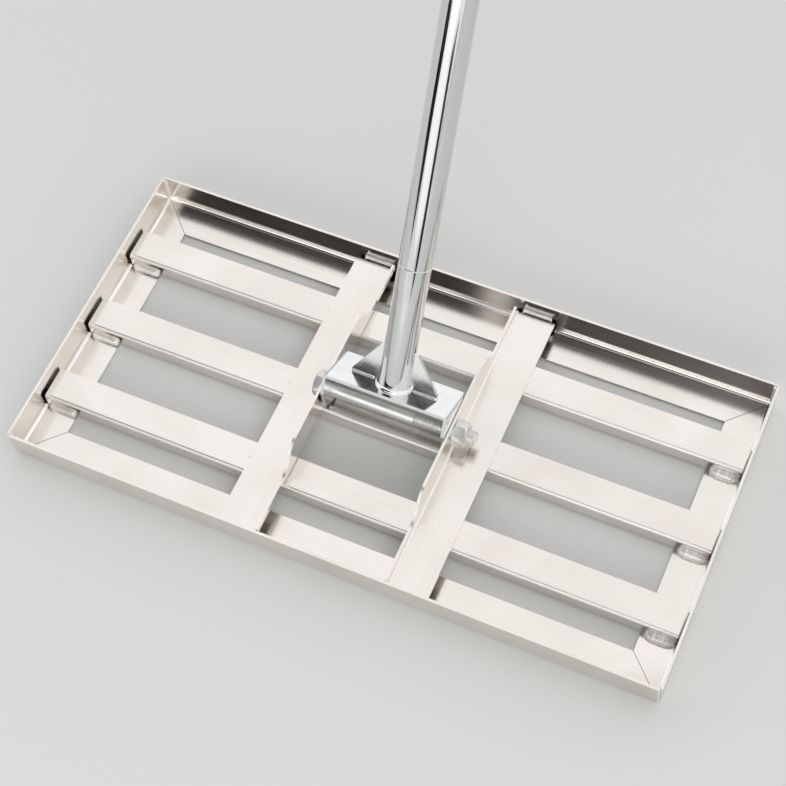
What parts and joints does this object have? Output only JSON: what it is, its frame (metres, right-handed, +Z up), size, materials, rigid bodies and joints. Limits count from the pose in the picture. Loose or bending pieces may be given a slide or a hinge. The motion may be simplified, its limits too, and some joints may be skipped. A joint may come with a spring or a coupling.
{
  "type": "lawn leveling rake",
  "caption": "Lawn leveling rake: welded steel drag frame with slats and cross members, and a long tube handle on a bracket that swings about a bolt.",
  "frame": {"origin": "middle of the frame, on the ground plane that its flanges lie on", "axes": "+X along the frame's long side to the right, +Y from front to back (the handle leans that way), +Z up"},
  "size_m": [0.51, 0.8767, 1.3741],
  "materials": {
    "frame_steel": "satin polished stainless sheet",
    "polished_steel": "bright polished stainless tube and plate",
    "weld_metal": "brushed weld bead",
    "bolt_steel": "bright zinc plate",
    "black_plastic": "moulded, matte"
  },
  "bodies": {
    "head": {"frame_front_angle": "frame_steel", "frame_back_angle": "frame_steel", "frame_left_angle": "frame_steel", "frame_right_angle": "frame_steel", "frame_corner_welds": "weld_metal", "slat_front": "frame_steel", "slat_middle": "frame_steel", "slat_back": "frame_steel", "slat_end_welds": "weld_metal", "cross_member_left": "frame_steel", "cross_member_right": "frame_steel", "cross_end_welds": "weld_metal", "cross_tack_welds": "weld_metal", "pivot_bolt": "bolt_steel", "pivot_nut": "bolt_steel"},
    "handle": {"handle_bracket": "polished_steel", "gusset_left": "polished_steel", "gusset_right": "polished_steel", "gusset_welds": "weld_metal", "stub_tube": "polished_steel", "stub_weld": "weld_metal", "handle_section_1": "polished_steel", "handle_section_2": "polished_steel", "handle_section_3": "polished_steel", "handle_section_4": "polished_steel", "connector_1": "frame_steel", "connector_2": "frame_steel", "connector_3": "frame_steel", "connector_4": "frame_steel", "handle_end_cap": "black_plastic"}
  },
  "joints": [
    {"name": "handle_pivot", "type": "hinge", "parent": "head", "child": "handle", "pos_m": [0, 0, 0.0315], "axis": [1, 0, 0], "range_deg": [-31, 89]}
  ]
}
